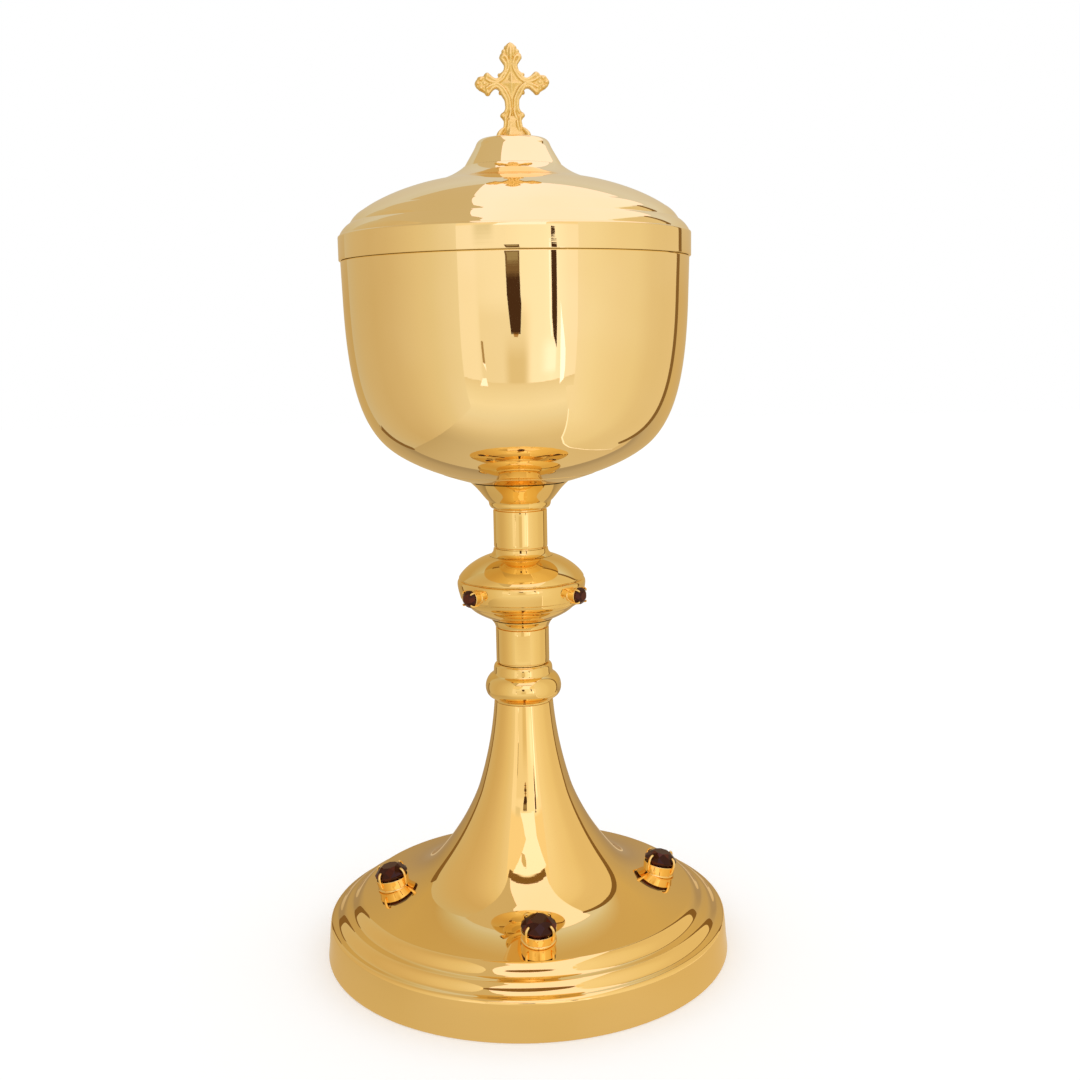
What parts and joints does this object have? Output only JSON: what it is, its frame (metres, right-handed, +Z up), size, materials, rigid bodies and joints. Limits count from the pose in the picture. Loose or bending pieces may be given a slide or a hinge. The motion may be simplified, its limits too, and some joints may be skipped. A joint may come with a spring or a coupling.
{
  "type": "ciborium",
  "caption": "Covered gilt cup on a knopped stem and round stepped foot, with claw-set garnets, and a lift-off domed lid that carries a small cast cross.",
  "frame": {"origin": "centre of the foot's resting rim, on the surface that it stands on", "axes": "+Z up the axis of the cup, +X to the right of the cross seen from the front, +Y to the back"},
  "size_m": [0.1496, 0.1496, 0.3256],
  "materials": {
    "gilt_brass": "mirror-polished gold plate",
    "cast_gilt": "satin gold plate over an investment casting",
    "garnet": "faceted and polished, deep red",
    "steel": "plain turned steel"
  },
  "bodies": {
    "stand": {"foot_shell": "gilt_brass", "foot_setting_1": "gilt_brass", "foot_setting_2": "gilt_brass", "foot_setting_3": "gilt_brass", "foot_setting_4": "gilt_brass", "stem_bead_ring": "gilt_brass", "lower_stem_tube": "gilt_brass", "knop_lower_ring": "gilt_brass", "knop_dish": "gilt_brass", "knop_band": "gilt_brass", "knop_dome": "gilt_brass", "knop_setting_1": "gilt_brass", "knop_setting_2": "gilt_brass", "knop_setting_3": "gilt_brass", "knop_setting_4": "gilt_brass", "knop_upper_ring": "gilt_brass", "upper_stem_tube": "gilt_brass", "cup_collar": "gilt_brass", "cup_boss": "gilt_brass", "cup_bowl": "gilt_brass", "foot_garnet_1": "garnet", "foot_garnet_2": "garnet", "foot_garnet_3": "garnet", "foot_garnet_4": "garnet", "knop_garnet_1": "garnet", "knop_garnet_2": "garnet", "knop_garnet_3": "garnet", "knop_garnet_4": "garnet", "tie_rod": "steel", "tie_rod_nut": "steel", "tie_rod_washer": "steel", "foot_clamp_disc": "steel"},
    "lid": {"lid_shell": "gilt_brass", "lid_neck": "gilt_brass", "finial_cross": "cast_gilt", "finial_washer": "steel", "finial_nut": "steel"}
  },
  "joints": [
    {"name": "lid_lift", "type": "slide", "parent": "stand", "child": "lid", "axis": [0, 0, 1], "range_m": [0, 0.12]}
  ]
}
